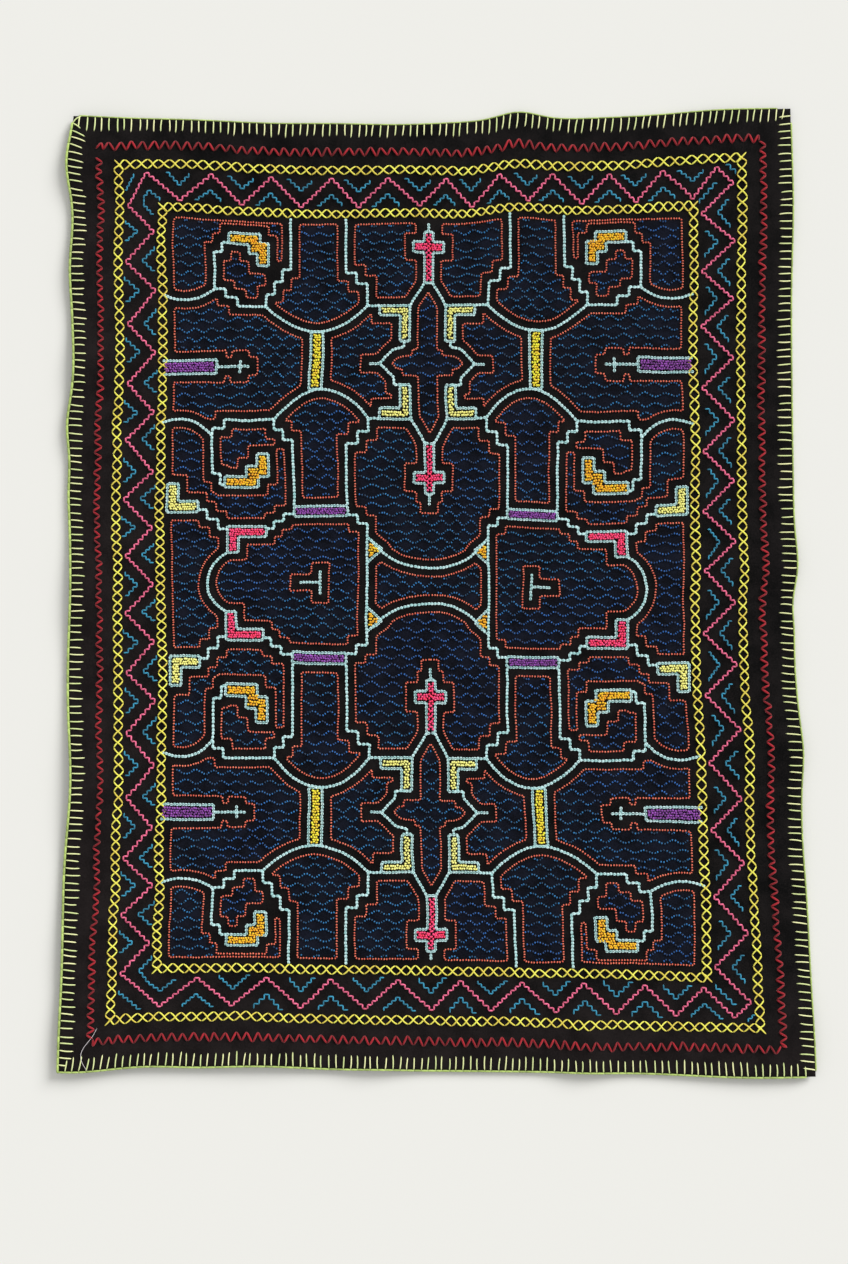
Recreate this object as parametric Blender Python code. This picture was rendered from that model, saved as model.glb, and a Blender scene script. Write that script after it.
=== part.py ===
"""A black cotton ceremonial cloth laid face up, with a yarn edge in blanket stitch. Metres, +Z up.

The panel is hand cut, so its four corners are placed one by one and its sides bow and wave. It lies flat
in the middle, and its edges ripple up from the surface. The stitched bands round it stand up as low ribs.
"""

import math
from collections import namedtuple

import bmesh
import bpy

# Where the corners of the panel lie, measured from about its middle
TOP_LEFT = (-0.3398, 0.4475)
TOP_RIGHT = (0.3314, 0.4540)
BOTTOM_RIGHT = (0.3549, -0.4531)
BOTTOM_LEFT = (-0.3549, -0.4475)

MEAN_WIDTH = 0.691
MEAN_LENGTH = 0.901
CLOTH_THICKNESS = 0.0015

# How far in from each side a stitched band runs, and the rib that its thread makes on the face
Band = namedtuple("Band", "left top right bottom half_width height")
RED_ZIGZAG = Band(0.0280, 0.0278, 0.0286, 0.0268, 0.0040, 0.0006)
OUTER_BRAID = Band(0.0461, 0.0460, 0.0488, 0.0464, 0.0055, 0.0009)
INNER_BRAID = Band(0.0875, 0.0887, 0.0945, 0.0929, 0.0055, 0.0009)
BANDS = (RED_ZIGZAG, OUTER_BRAID, INNER_BRAID)

# How far a side bows outward at its middle, the power with which that dies out across the panel, and how
# high its whole length stands off the surface
Side = namedtuple("Side", "bow fade stand")
SIDES = {
    "top": Side(-0.0093, 7.0, 0.0008),
    "bottom": Side(-0.0022, 7.0, 0.0022),
    "left": Side(-0.0025, 7.0, 0.0024),
    "right": Side(-0.0069, 2.0, 0.0008),
}

# Waves of the sides: place runs from the left end or the top end, out and rise are at the crest
Wave = namedtuple("Wave", "side place half_width out rise")
WAVES = (
    Wave("top", 0.06, 0.045, -0.0015, 0.0020),
    Wave("top", 0.28, 0.060, -0.0024, 0.0025),
    Wave("top", 0.45, 0.055, -0.0028, 0.0030),
    Wave("top", 0.62, 0.027, 0.0075, 0.0015),
    Wave("top", 0.90, 0.050, 0.0019, 0.0020),
    Wave("bottom", 0.02, 0.030, 0.0013, 0.0025),
    Wave("bottom", 0.12, 0.040, -0.0035, 0.0030),
    Wave("bottom", 0.26, 0.060, -0.0041, 0.0040),
    Wave("bottom", 0.42, 0.030, -0.0012, 0.0042),
    Wave("bottom", 0.70, 0.027, 0.0000, 0.0045),
    Wave("bottom", 0.90, 0.060, 0.0020, 0.0025),
    Wave("left", 0.05, 0.032, 0.0064, 0.0030),
    Wave("left", 0.16, 0.035, 0.0026, 0.0025),
    Wave("left", 0.26, 0.030, -0.0019, 0.0042),
    Wave("left", 0.325, 0.027, 0.0037, 0.0020),
    Wave("left", 0.395, 0.030, 0.0018, 0.0000),
    Wave("left", 0.50, 0.045, -0.0016, 0.0035),
    Wave("left", 0.70, 0.060, -0.0054, 0.0046),
    Wave("left", 0.88, 0.060, -0.0014, 0.0036),
    Wave("right", 0.10, 0.060, 0.0021, 0.0020),
    Wave("right", 0.47, 0.027, 0.0022, 0.0036),
    Wave("right", 0.51, 0.022, -0.0026, 0.0000),
    Wave("right", 0.57, 0.045, -0.0031, 0.0026),
    Wave("right", 0.665, 0.027, 0.0020, 0.0040),
    Wave("right", 0.75, 0.045, -0.0021, 0.0026),
    Wave("right", 0.95, 0.045, 0.0000, 0.0026),
)
WAVE_FADE = 9.0  # power with which a side's waves die out across the panel
RIPPLE_FULL = 0.022  # the edge stands at its full height up to here
RIPPLE_END = 0.090  # and lies on the surface from here inward

# The panel's mesh between the innermost ribs
CELLS_ACROSS = 19
CELLS_ALONG = 26

# The yarn edge
YARN_GAP = 0.0003
YARN_THICKNESS = 0.0013
STITCH_SPACING = 0.0145
STITCH_LENGTH = 0.0128
STITCH_WIDTH = 0.0017
STITCH_HEIGHT = 0.0009
STITCH_UNEVEN_LENGTH = 0.0010
STITCH_SLANT = 0.0012
CORNER_CLEAR = 0.0150  # no inward stitch starts nearer a corner
CREASE_CLEAR = 0.0003  # nor lies across a corner of the panel's mesh
STITCHED_SIDE = 2  # the side of the bead, between its top and its seat, that the stitches leave from

CLOTH_BLACK = (0.010, 0.009, 0.009, 1.0)
YARN_LIME = (0.42, 0.62, 0.10, 1.0)


def waves_at(name, place, share):
    """What the waves of a side add at a place along it: share is their out or their rise."""
    length = MEAN_WIDTH if name in ("top", "bottom") else MEAN_LENGTH
    total = 0.0
    for wave in WAVES:
        if wave.side == name:
            away = (place - wave.place) * length / wave.half_width
            total += getattr(wave, share) * math.exp(-(away**2))
    return total


def side_out(name, place, near):
    """How far outward a side moves a point of the panel: near is 1 on the side itself, 0 on the one opposite."""
    bow = SIDES[name].bow * math.sin(math.pi * place) * near ** SIDES[name].fade
    return bow + waves_at(name, place, "out") * near**WAVE_FADE


def side_rise(name, place):
    """How high a side stands off the surface."""
    return SIDES[name].stand + waves_at(name, place, "rise")


def plan_point(u, v):
    """The place in plan of a point u across from the left and v up from the bottom, both 0 to 1."""
    place = []
    for axis in (0, 1):
        low = BOTTOM_LEFT[axis] * (1 - u) + BOTTOM_RIGHT[axis] * u
        high = TOP_LEFT[axis] * (1 - u) + TOP_RIGHT[axis] * u
        place.append(low * (1 - v) + high * v)
    place[0] += side_out("right", 1 - v, u) - side_out("left", 1 - v, 1 - u)
    place[1] += side_out("top", u, v) - side_out("bottom", u, 1 - v)
    return place


def insets(u, v):
    """How far in a point is from each side."""
    return {
        "left": u * MEAN_WIDTH,
        "right": (1 - u) * MEAN_WIDTH,
        "top": (1 - v) * MEAN_LENGTH,
        "bottom": v * MEAN_LENGTH,
    }


def ripple_share(inset):
    """The share of a side's rise that is left this far in."""
    if inset <= RIPPLE_FULL:
        return 1.0
    if inset >= RIPPLE_END:
        return 0.0
    return math.cos(0.5 * math.pi * (inset - RIPPLE_FULL) / (RIPPLE_END - RIPPLE_FULL)) ** 2


def underside(u, v):
    """The height of the panel's back, which is 0 over its whole middle."""
    height = 0.0
    for name, inset in insets(u, v).items():
        share = ripple_share(inset)
        if share > 0:
            height += side_rise(name, u if name in ("top", "bottom") else 1 - v) * share
    return height


def rib(u, v):
    """How far the thread of the bands raises the face."""
    inset = insets(u, v)
    height = 0.0
    for band in BANDS:
        past = min(inset[name] - getattr(band, name) for name in inset)
        height += band.height * max(0.0, 1 - abs(past) / band.half_width)
    return height


def rib_lines(side):
    """How far in the mesh lines near a side are: its edge, each rib's feet and crest, and one between the braids."""
    lines = [0.0]
    for band in BANDS:
        crest = getattr(band, side)
        if band is INNER_BRAID:
            lines.append((lines[-1] + crest - band.half_width) / 2)
        lines += [crest - band.half_width, crest, crest + band.half_width]
    return lines


def grid_lines(low, high, length, cells):
    """Where the mesh lines run from side low to side high, 0 to 1: on the ribs, and evenly between them."""
    near = rib_lines(low)
    far = [length - inset for inset in reversed(rib_lines(high))]
    step = (far[0] - near[-1]) / cells
    middle = [near[-1] + step * n for n in range(1, cells)]
    return [place / length for place in near + middle + far]


def centre_of_outline(us, vs):
    """The middle of the box round the panel's outline, which becomes the origin."""
    edge = [plan_point(u, v) for u in us for v in (0.0, 1.0)]
    edge += [plan_point(u, v) for v in vs for u in (0.0, 1.0)]
    xs = [p[0] for p in edge]
    ys = [p[1] for p in edge]
    return (min(xs) + max(xs)) / 2, (min(ys) + max(ys)) / 2


def panel_grid():
    """The panel's mesh points as rows of (x, y, back height, face height)."""
    us = grid_lines("left", "right", MEAN_WIDTH, CELLS_ACROSS)
    vs = grid_lines("bottom", "top", MEAN_LENGTH, CELLS_ALONG)
    middle_x, middle_y = centre_of_outline(us, vs)
    grid = []
    for v in vs:
        row = []
        for u in us:
            x, y = plan_point(u, v)
            back = underside(u, v)
            row.append((x - middle_x, y - middle_y, back, back + CLOTH_THICKNESS + rib(u, v)))
        grid.append(row)
    return grid


def material(name, colour, roughness):
    """A plain fibre finish."""
    made = bpy.data.materials.new(name)
    made.use_nodes = True
    shader = made.node_tree.nodes["Principled BSDF"]
    shader.inputs["Base Color"].default_value = colour
    shader.inputs["Roughness"].default_value = roughness
    shader.inputs["Metallic"].default_value = 0.0
    made.diffuse_color = colour
    return made


def add_object(name, work, finish):
    """Puts a finished bmesh into the scene as one object."""
    bmesh.ops.recalc_face_normals(work, faces=work.faces[:])
    mesh = bpy.data.meshes.new(name)
    work.to_mesh(mesh)
    work.free()
    mesh.materials.append(finish)
    made = bpy.data.objects.new(name, mesh)
    bpy.context.scene.collection.objects.link(made)
    return made


def make_cloth(grid):
    """The panel: face and back on one grid, joined round the edge, with a single flat patch below."""
    work = bmesh.new()
    face = [[work.verts.new((x, y, top)) for x, y, _, top in row] for row in grid]
    back = [[work.verts.new((x, y, low)) for x, y, low, _ in row] for row in grid]
    flat = []
    for j in range(len(grid) - 1):
        for i in range(len(grid[0]) - 1):
            corners = ((j, i), (j, i + 1), (j + 1, i + 1), (j + 1, i))
            work.faces.new([face[b][a] for b, a in corners])
            under = work.faces.new([back[b][a] for b, a in reversed(corners)])
            if all(grid[b][a][2] == 0.0 for b, a in corners):
                flat.append(under)
    rim = rim_of(grid)
    for near, far in zip(rim, rim[1:] + rim[:1]):
        walls = [back[near[0]][near[1]], back[far[0]][far[1]], face[far[0]][far[1]], face[near[0]][near[1]]]
        work.faces.new(walls)
    bmesh.ops.dissolve_faces(work, faces=flat, use_verts=True)
    made = add_object("cloth", work, material("black cotton", CLOTH_BLACK, 0.9))
    made.data.shade_flat()
    return made


def rim_of(grid):
    """The places of the grid's edge points, once round from the bottom left."""
    last_row = len(grid) - 1
    last = len(grid[0]) - 1
    rim = [(0, i) for i in range(last)]
    rim += [(j, last) for j in range(last_row)]
    rim += [(last_row, i) for i in range(last, 0, -1)]
    rim += [(j, 0) for j in range(last_row, 0, -1)]
    return rim


def sides_of(grid):
    """Each side as its edge points and the points one mesh line further in, in the same turn."""
    right = [row[-1] for row in grid]
    left = [row[0] for row in grid][::-1]
    return (
        (grid[0], grid[1]),
        (right, [row[-2] for row in grid]),
        (grid[-1][::-1], grid[-2][::-1]),
        (left, [row[1] for row in grid][::-1]),
    )


def between(a, b, share):
    """A point part of the way from a to b."""
    return tuple(p + (q - p) * share for p, q in zip(a, b))


def distance(a, b):
    return math.hypot(b[0] - a[0], b[1] - a[1])


def stitch_places(edge):
    """Where each inward stitch starts and ends along a side, clear of the mesh corners."""
    reach = [0.0]
    for a, b in zip(edge, edge[1:]):
        reach.append(reach[-1] + distance(a, b))
    count = int((reach[-1] - 2 * CORNER_CLEAR) / STITCH_SPACING)
    first = (reach[-1] - (count - 1) * STITCH_SPACING) / 2
    half = STITCH_WIDTH / 2
    places = []
    for n in range(count):
        centre = first + n * STITCH_SPACING
        for corner in reach[1:-1]:
            short = half + CREASE_CLEAR - abs(centre - corner)
            if short > 0:
                centre += short if centre >= corner else -short
        places.append((centre - half, centre + half))
    return reach, places


def on_side(line, reach, along):
    """The point of a side's line that is this far along its edge."""
    cell = next(n for n in range(len(reach) - 1) if along <= reach[n + 1] or n == len(reach) - 2)
    return between(line[cell], line[cell + 1], (along - reach[cell]) / (reach[cell + 1] - reach[cell]))


def edge_stations(grid):
    """Stations round the panel: each an edge point, and the stitch tip that starts there or None."""
    stations = []
    number = 0
    for edge, inner in sides_of(grid):
        reach, places = stitch_places(edge)
        marks = [(along, None) for along in reach[:-1]]
        for start, end in places:
            length = STITCH_LENGTH + STITCH_UNEVEN_LENGTH * math.sin(2.4 * number)
            slant = STITCH_SLANT * math.sin(1.7 * number + 1.0)
            tips = []
            for along in (start, end):
                root = on_side(edge, reach, along + slant)
                line_in = on_side(inner, reach, along + slant)
                tips.append(between(root, line_in, length / distance(root, line_in)))
            marks.append((start, tips))
            marks.append((end, None))
            number += 1
        for along, tips in sorted(marks, key=lambda mark: mark[0]):
            stations.append((on_side(edge, reach, along), tips))
    return stations


def outward(before, here, after):
    """The outward direction at an edge point, lengthened at a bend so that the yarn keeps its distance."""
    turns = []
    for a, b in ((before, here), (here, after)):
        span = distance(a, b)
        turns.append(((b[1] - a[1]) / span, -(b[0] - a[0]) / span))
    x = turns[0][0] + turns[1][0]
    y = turns[0][1] + turns[1][1]
    scale = 2 / (x * x + y * y)
    return x * scale, y * scale


def make_edging(grid):
    """The yarn edge: one bead round the panel's cut edge, with stitches that reach in over the face."""
    stations = edge_stations(grid)
    work = bmesh.new()
    rings = []
    for n, (here, _) in enumerate(stations):
        out = outward(stations[n - 1][0], here, stations[(n + 1) % len(stations)][0])
        low = here[2]
        seat = here[3] + YARN_GAP
        section = (
            (YARN_GAP, low),
            (YARN_GAP + YARN_THICKNESS, low),
            (YARN_GAP + 0.6 * YARN_THICKNESS, seat + STITCH_HEIGHT),
            (YARN_GAP, seat),
        )
        rings.append([work.verts.new((here[0] + out[0] * d, here[1] + out[1] * d, z)) for d, z in section])
    for n, (_, tips) in enumerate(stations):
        ring = rings[n]
        following = rings[(n + 1) % len(rings)]
        for k in range(len(ring)):
            m = (k + 1) % len(ring)
            side = (ring[k], following[k], following[m], ring[m])
            if k == STITCHED_SIDE and tips is not None:
                add_stitch(work, side, tips)
            else:
                work.faces.new(side)
    return add_object("edging", work, material("lime yarn", YARN_LIME, 0.8))


def add_stitch(work, root, tips):
    """One inward stitch, drawn out of a side of the bead to its two tip points."""
    low = []
    high = []
    for x, y, _, top in tips:
        seat = top + YARN_GAP
        low.append(work.verts.new((x, y, seat)))
        high.append(work.verts.new((x, y, seat + STITCH_HEIGHT)))
    tip = (high[0], high[1], low[1], low[0])
    for n in range(4):
        m = (n + 1) % 4
        work.faces.new([root[n], root[m], tip[m], tip[n]])
    work.faces.new(tip)


def main():
    for old in list(bpy.data.objects):
        bpy.data.objects.remove(old, do_unlink=True)
    grid = panel_grid()
    make_cloth(grid)
    make_edging(grid)


main()
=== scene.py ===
"""The looks of the embroidered ceremonial cloth: its ground, yarn edge, stitched borders and stitched field.

Metres. A place on the cloth is (s, t): s in from the left side and t up from the bottom side, as if the
panel were a true rectangle. lay() bends that onto the hand-cut outline and the rippled surface.
"""

import functools
import math
import re
from collections import namedtuple

import bpy
import numpy as np
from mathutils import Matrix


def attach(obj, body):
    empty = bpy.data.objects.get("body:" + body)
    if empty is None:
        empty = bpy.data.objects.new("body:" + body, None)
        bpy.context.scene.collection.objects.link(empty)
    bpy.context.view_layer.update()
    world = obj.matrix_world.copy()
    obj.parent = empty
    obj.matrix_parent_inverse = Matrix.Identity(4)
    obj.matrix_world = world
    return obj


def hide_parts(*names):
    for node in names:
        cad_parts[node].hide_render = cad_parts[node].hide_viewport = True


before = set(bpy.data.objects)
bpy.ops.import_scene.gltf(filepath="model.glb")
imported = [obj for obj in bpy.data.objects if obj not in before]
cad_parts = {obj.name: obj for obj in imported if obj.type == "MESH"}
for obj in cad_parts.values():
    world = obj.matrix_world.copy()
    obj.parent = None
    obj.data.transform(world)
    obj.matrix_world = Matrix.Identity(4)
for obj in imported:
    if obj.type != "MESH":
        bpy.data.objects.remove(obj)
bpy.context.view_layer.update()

# The panel, as the solids have it
WIDTH = 0.691
LENGTH = 0.901
TOP_LEFT = (-0.3398, 0.4475)
TOP_RIGHT = (0.3314, 0.4540)
BOTTOM_RIGHT = (0.3549, -0.4531)
BOTTOM_LEFT = (-0.3549, -0.4475)
THICKNESS = 0.0013
WAVE_FADE = 9.0
RIPPLE_FULL = 0.022
RIPPLE_END = 0.090

# How far a side bows outward, the power with which that dies out across the panel, and how high it stands
Side = namedtuple("Side", "bow fade stand")
SIDES = {
    "top": Side(-0.0093, 7.0, 0.0008),
    "bottom": Side(-0.0022, 7.0, 0.0022),
    "left": Side(-0.0025, 7.0, 0.0024),
    "right": Side(-0.0069, 2.0, 0.0008),
}

# Waves of a side: place from its left or its top end, half width along it, how far out and how far up
OUT = 0
RISE = 1
WAVES = {
    "top": (
        (0.06, 0.045, -0.0015, 0.0020), (0.28, 0.060, -0.0024, 0.0025), (0.45, 0.055, -0.0028, 0.0030),
        (0.62, 0.027, 0.0075, 0.0015), (0.90, 0.050, 0.0019, 0.0020),
    ),
    "bottom": (
        (0.02, 0.030, 0.0013, 0.0025), (0.12, 0.040, -0.0035, 0.0030), (0.26, 0.060, -0.0041, 0.0040),
        (0.42, 0.030, -0.0012, 0.0042), (0.70, 0.027, 0.0000, 0.0045), (0.90, 0.060, 0.0020, 0.0025),
    ),
    "left": (
        (0.05, 0.032, 0.0064, 0.0030), (0.16, 0.035, 0.0026, 0.0025), (0.26, 0.030, -0.0019, 0.0042),
        (0.325, 0.027, 0.0037, 0.0020), (0.395, 0.030, 0.0018, 0.0000), (0.50, 0.045, -0.0016, 0.0035),
        (0.70, 0.060, -0.0054, 0.0046), (0.88, 0.060, -0.0014, 0.0036),
    ),
    "right": (
        (0.10, 0.060, 0.0021, 0.0020), (0.47, 0.027, 0.0022, 0.0036), (0.51, 0.022, -0.0026, 0.0000),
        (0.57, 0.045, -0.0031, 0.0026), (0.665, 0.027, 0.0020, 0.0040), (0.75, 0.045, -0.0021, 0.0026),
        (0.95, 0.045, 0.0000, 0.0026),
    ),
}

# Where the bands and the rim of the field stray inward from a side: place, half width and how far
STRAYS = {
    "top": ((0.14, 0.045, -0.0036), (0.31, 0.070, 0.0010), (0.53, 0.035, 0.0034)),
    "bottom": ((0.18, 0.070, 0.0013), (0.38, 0.050, 0.0018), (0.74, 0.110, -0.0020)),
    "left": (
        (0.12, 0.035, -0.0024), (0.38, 0.090, -0.0020), (0.60, 0.060, 0.0024), (0.72, 0.040, 0.0008),
        (0.81, 0.030, 0.0032),
    ),
    "right": ((0.22, 0.120, -0.0008),),
}
STRAY_FROM = 0.022  # a stray acts in full from this depth
STRAY_TO = 0.105  # to this one
STRAY_END = 0.200  # and has died out at this one

# Where the field as a whole drifts, in broad bumps: middle and half width, along s and t, then how far
DRIFTS = (
    (0.466, 0.450, 0.085, 0.400, -0.0070, 0.0000),
    (0.345, 0.395, 0.300, 0.120, 0.0000, 0.0060),
    (0.345, 0.695, 0.300, 0.085, 0.0000, 0.0042),
    (0.130, 0.400, 0.120, 0.090, 0.0000, 0.0070),
    (0.500, 0.550, 0.110, 0.070, 0.0000, -0.0075),
)

# How far in from each side the centre line of a stitched band runs
Band = namedtuple("Band", "left top right bottom")
RED_BAND = Band(0.0280, 0.0278, 0.0286, 0.0268)
OUTER_BRAID = Band(0.0461, 0.0460, 0.0488, 0.0464)
INNER_BRAID = Band(0.0875, 0.0887, 0.0945, 0.0929)

# The field is charted as its upper left quarter, in units: x from its left edge, y down from its top edge
UNIT = np.array((0.0104, 0.0103))
QUARTER = np.array((24.0, 34.0))
MIDDLE_S = (INNER_BRAID.left + WIDTH - INNER_BRAID.right) / 2
MIDDLE_T = (INNER_BRAID.bottom + LENGTH - INNER_BRAID.top) / 2
FIELD_MIDDLE = np.array((MIDDLE_S, MIDDLE_T))

# Lines of aqua chain stitch. A line starts at x,y; h and v step across and down, L runs straight to a
# point, and a bends to a point with a bulge, which is down for a line that runs right.
AQUA_LINES = (
    # upper wave and the stem of the upper hook
    "-0.5,7.1 a4.3,6.6,0.7",
    "4.3,6.6 v-3.5 h0.7 v-0.9 h0.6",
    "4.3,6.6 h1.0 v0.8 h1.0 v0.8 h2.65",
    # upper column and its cup
    "11.2,-0.5 v5.1 h-0.75 v1.2 h-0.75 v1.2 h-0.75 v1.2",
    "16.3,-0.5 v5.4 h1.0 v1.1 h1.0 v2.2",
    "8.95,8.2 a18.3,8.2,2.4",
    # lower column, its dome and its foot
    "9.9,18.4 a18.5,18.4,-2.6",
    "9.9,18.4 v0.9 h0.85 v0.9 h0.85 v6.2",
    "18.5,18.4 v1.2 h-1.0 v1.1 h-1.0 v5.7",
    "16.5,27.4 h0.9 v0.8 h0.9 v1.3",
    # lower wave and the stem of the lower hook
    "-0.5,18.9 a4.3,19.9,-0.9",
    "4.3,19.9 v-0.7 h1.0 v-0.8 h4.6",
    "4.3,19.9 v3.5 h0.7 v1.0 h0.4",
    # from the left bracket to the lobe of the side medallion
    "3.0,26.8 h0.8 v0.9 h0.9 v1.0 h0.8",
    "9.0,28.6 h0.7 v-0.7 h0.9 v-0.7 h1.0",
    "5.5,31 a3.8,34,0.45",
    # right side of the medallion and the bowl on the axis
    "18.3,29.5 v4.5",
    "18.6,29.7 a24,32.35,0.75",
    # stepped lozenge on the axis
    "23.63,6.0 L22.3,8.2",
    "18.3,8.2 h1.2",
    "21.8,11.6 v0.5 L20.8,12.3 L19.5,13.6 L20.8,14.9 v0.6 h1.0",
    "18.5,18.4 h1.0",
    "22.3,18.4 L23.62,20.6",
)
AQUA_OUTLINES = (
    # hooks
    "5.6,1.2 h2.8 v0.9 h0.8 v2.2 h-1.0 v-1.2 h-0.8 v-0.9 h-1.8 v-1.0",
    "5.4,23.6 h2.0 v-1.0 h0.9 v-1.2 h1.0 v2.2 h-0.9 v1.0 h-3.0 v-1.0",
    # bars
    "13.0,10.6 h1.15 v5.2 h-1.15 v-5.2",
    "11.6,26.5 h4.9 v0.95 h-4.9 v-0.95",
    "-0.5,13.0 h4.9 v1.3 h-4.9",
    # brackets
    "0.2,24.4 h1.0 v1.6 h1.8 v1.0 h-2.8 v-2.6",
    "5.5,28.4 h3.5 v1.0 h-2.5 v1.6 h-1.0 v-2.6",
    "19.5,8.2 h2.8 v3.4 h-0.92 v-2.48 h-1.88 v-0.92",
    "21.38,15.5 h0.92 v2.9 h-2.8 v-0.92 h1.88 v-1.98",
    # crosses on the axis, left halves
    "24,0.9 h-0.40 v1.0 h-1.03 v1.06 h1.03 v3.04 h0.40",
    "24,20.6 h-0.41 v2.6 h-1.01 v1.03 h1.01 v1.02 h0.41",
    # corner piece of the bowl
    "18.3,29.5 L19.7,30.6 L18.3,31.9",
)
AQUA_SPIKES = (
    "24,0.0 v0.9",
    "24,25.25 v1.05",
    "4.4,13.65 h2.9",
    "6.5,13.05 v1.2",
    "19.5,13.6 h-1.0",
    "12.2,34 h1.9",
    "14.1,34 v-1.2",
)

# Boxes of the chart that are filled with knots of a yarn: left, top, right and bottom
FILLS = {
    "orange": (
        (5.8, 1.4, 8.2, 2.0), (7.6, 2.0, 9.0, 2.9), (8.4, 2.9, 9.0, 4.1), (5.6, 23.8, 8.2, 24.4),
        (7.6, 22.8, 8.5, 23.8), (8.5, 21.6, 9.1, 23.4), (18.5, 30.1, 18.9, 31.3), (18.9, 30.4, 19.3, 30.9),
    ),
    "amber": ((13.25, 10.8, 13.90, 15.6),),
    "gold": (
        (0.4, 24.6, 1.0, 26.8), (1.0, 26.2, 2.8, 26.8), (19.7, 8.42, 22.08, 8.90), (21.60, 8.90, 22.08, 11.4),
        (21.60, 15.7, 22.08, 18.18), (19.7, 17.70, 21.60, 18.18),
    ),
    "purple": ((11.8, 26.68, 16.3, 27.27), (-0.3, 13.2, 4.2, 14.1)),
    "magenta": (
        (5.7, 28.6, 8.8, 29.2), (5.7, 29.2, 6.3, 30.8), (23.755, 1.1, 24.0, 5.8), (22.75, 2.12, 23.755, 2.74),
        (23.745, 20.8, 24.0, 25.0), (22.76, 23.41, 23.745, 24.02),
    ),
}

CORAL_AWAY = 0.80  # units from an aqua line to the coral line that follows it
FRAME_ACROSS = -0.20  # the field's side edge counts as a line here
FRAME_DOWN = -0.68  # and its top edge here
SMALLEST_ISLAND = 5.0  # units round: a coral ring shorter than this isn't stitched
CHART_STEP = 0.1  # units between the points where the distance from the lines is known
ON_MIRROR = 0.02  # units from a mirror line within which a stitch lies on it
FINE_STEP = 0.05  # units between the points of a line that is searched for corners
CORNER_REACH = 5  # such points to each side of a corner
SHARP_TURN = 50  # degrees

rng = np.random.default_rng(11)


def about(by, count):
    """Random values between -by and by."""
    return rng.uniform(-by, by, count)


# The cloth's surface


def smooth(share):
    return share * share * (3 - 2 * share)


def net_value(values, x, y, soften=lambda share: share):
    """The value of a net at a place in it, blended between the four points round the place."""
    x, y = (np.clip(place, 0, count - 1.001) for place, count in zip((x, y), values.shape))
    i = x.astype(int)
    j = y.astype(int)
    a = soften(x - i)
    b = soften(y - j)
    low = values[i, j] * (1 - a) + values[i + 1, j] * a
    high = values[i, j + 1] * (1 - a) + values[i + 1, j + 1] * a
    return low * (1 - b) + high * b


class SoftNoise:
    """Random values on a square net, blended smoothly, between -1 and 1."""

    def __init__(self, cell, seed):
        self.cell = cell
        size = (int(WIDTH / cell) + 4, int(LENGTH / cell) + 4)
        self.values = np.random.default_rng(seed).uniform(-1, 1, size)

    def at(self, s, t):
        return net_value(self.values, s / self.cell + 1, t / self.cell + 1, smooth)


PUCKER = SoftNoise(0.024, 3)
FINE_PUCKER = SoftNoise(0.009, 4)
WANDER_S = SoftNoise(0.085, 5)
WANDER_T = SoftNoise(0.085, 6)
JOG_S = SoftNoise(0.021, 7)
JOG_T = SoftNoise(0.021, 8)
PHASE_DRIFT = SoftNoise(0.045, 9)
ROW_WAVER = SoftNoise(0.030, 10)
PUCKER_HEIGHT = 0.00035
FINE_PUCKER_HEIGHT = 0.00012
ISLAND_RISE = 0.0004  # how far the cloth puffs up inside the coral lines
ISLAND_RIM = 0.15  # units outside a coral line from which it rises
ISLAND_SOFT = 0.5  # units over which it does
CALM_RIM = 0.03  # how far in from the cut edge the cloth and the stitches are less uneven
WANDER_BY = 0.0016
JOG_BY = 0.0007


def bumps_at(table, side, place, height=0):
    """What the bumps of a side add at places along it, by the one of their heights that is asked for."""
    length = WIDTH if side in ("top", "bottom") else LENGTH
    total = np.zeros_like(place)
    for middle, half_width, *heights in table[side]:
        away = (place - middle) * length / half_width
        total += heights[height] * np.exp(-(away**2))
    return total


def side_out(side, place, near):
    """How far outward a side moves places of the panel: near is 1 on that side and 0 on the opposite one."""
    near = np.clip(near, 0, None)
    bow = SIDES[side].bow * np.sin(np.pi * np.clip(place, 0, 1)) * near ** SIDES[side].fade
    return bow + bumps_at(WAVES, side, place, OUT) * near**WAVE_FADE


def plan(s, t):
    """The place in plan of places on the panel."""
    u = s / WIDTH
    v = t / LENGTH
    place = []
    for axis in (0, 1):
        low = BOTTOM_LEFT[axis] * (1 - u) + BOTTOM_RIGHT[axis] * u
        high = TOP_LEFT[axis] * (1 - u) + TOP_RIGHT[axis] * u
        place.append(low * (1 - v) + high * v)
    x = place[0] + side_out("right", 1 - v, u) - side_out("left", 1 - v, 1 - u)
    y = place[1] + side_out("top", u, v) - side_out("bottom", u, 1 - v)
    return x, y


def ripple_share(inset):
    turn = np.clip((inset - RIPPLE_FULL) / (RIPPLE_END - RIPPLE_FULL), 0, 1)
    return np.cos(0.5 * np.pi * turn) ** 2


def back_height(s, t):
    """The height of the panel's back, which is 0 over its whole middle."""
    u = s / WIDTH
    v = t / LENGTH
    height = 0
    places = (("left", 1 - v, s), ("right", 1 - v, WIDTH - s), ("top", u, LENGTH - t), ("bottom", u, t))
    for side, place, inset in places:
        height = height + (SIDES[side].stand + bumps_at(WAVES, side, place, RISE)) * ripple_share(inset)
    return height


def inner_share(s, t):
    """0 at the cut edge and 1 a few centimetres in."""
    nearest = np.minimum(np.minimum(s, WIDTH - s), np.minimum(t, LENGTH - t))
    return np.clip(nearest / CALM_RIM, 0, 1)


def face_height(s, t):
    """The height of the panel's face, drawn up a little between the stitched lines."""
    share = inner_share(s, t)
    pucker = PUCKER_HEIGHT * PUCKER.at(s, t) + FINE_PUCKER_HEIGHT * FINE_PUCKER.at(s, t)
    return back_height(s, t) + THICKNESS + pucker * share + ISLAND_RISE * island_share(*before_stray(s, t))


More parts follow.
